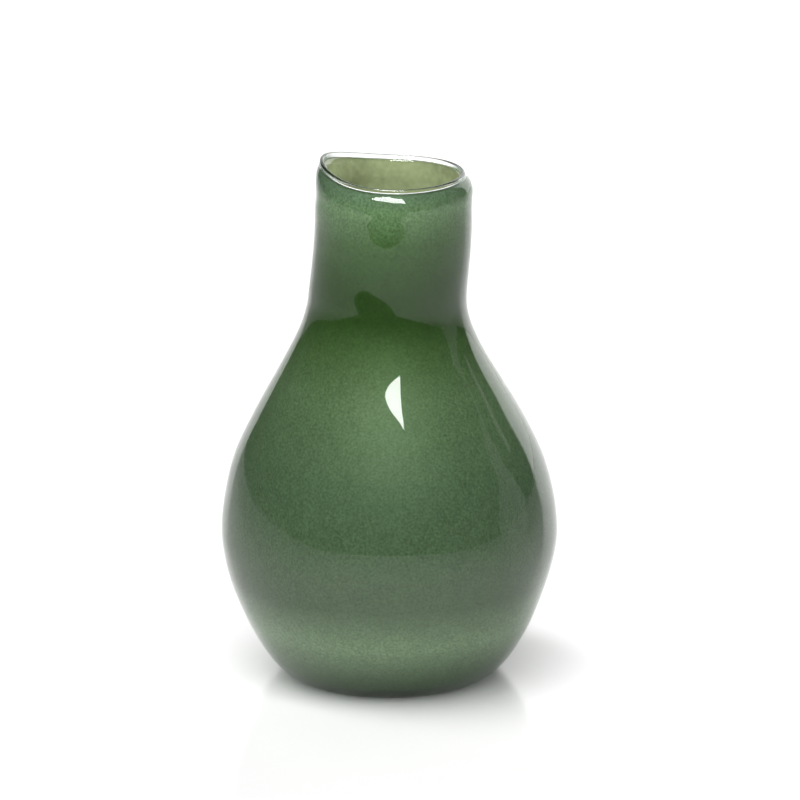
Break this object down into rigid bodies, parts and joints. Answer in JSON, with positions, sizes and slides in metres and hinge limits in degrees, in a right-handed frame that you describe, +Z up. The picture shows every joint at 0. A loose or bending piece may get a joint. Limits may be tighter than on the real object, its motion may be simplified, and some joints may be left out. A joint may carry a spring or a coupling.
{
  "type": "sake bottle",
  "caption": "Hand-blown cased glass sake bottle: a round jade green belly drawn up into a plain neck, with a clear lip pulled up to one side for pouring.",
  "frame": {"origin": "on the surface the bottle stands on, under the middle of the belly", "axes": "+Z up through the mouth; the lip is pulled towards -X, and -Y faces the viewer"},
  "size_m": [0.094, 0.094, 0.1477],
  "materials": {
    "clear_glass": "fire-polished, very glossy, clear with a faint green tint",
    "jade_glass": "translucent opal green, finely mottled",
    "lining_glass": "glossy, clear with a yellow-green cast from the layer behind it",
    "lip_glass": "fire-polished, very glossy and clear",
    "ground_glass": "clear, ground flat and part polished below"
  },
  "bodies": {
    "root": {"clear_casing": "clear_glass", "green_layer": "jade_glass", "inner_lining": "lining_glass", "lip_wrap": "lip_glass", "pontil_pad": "ground_glass"}
  },
  "joints": []
}
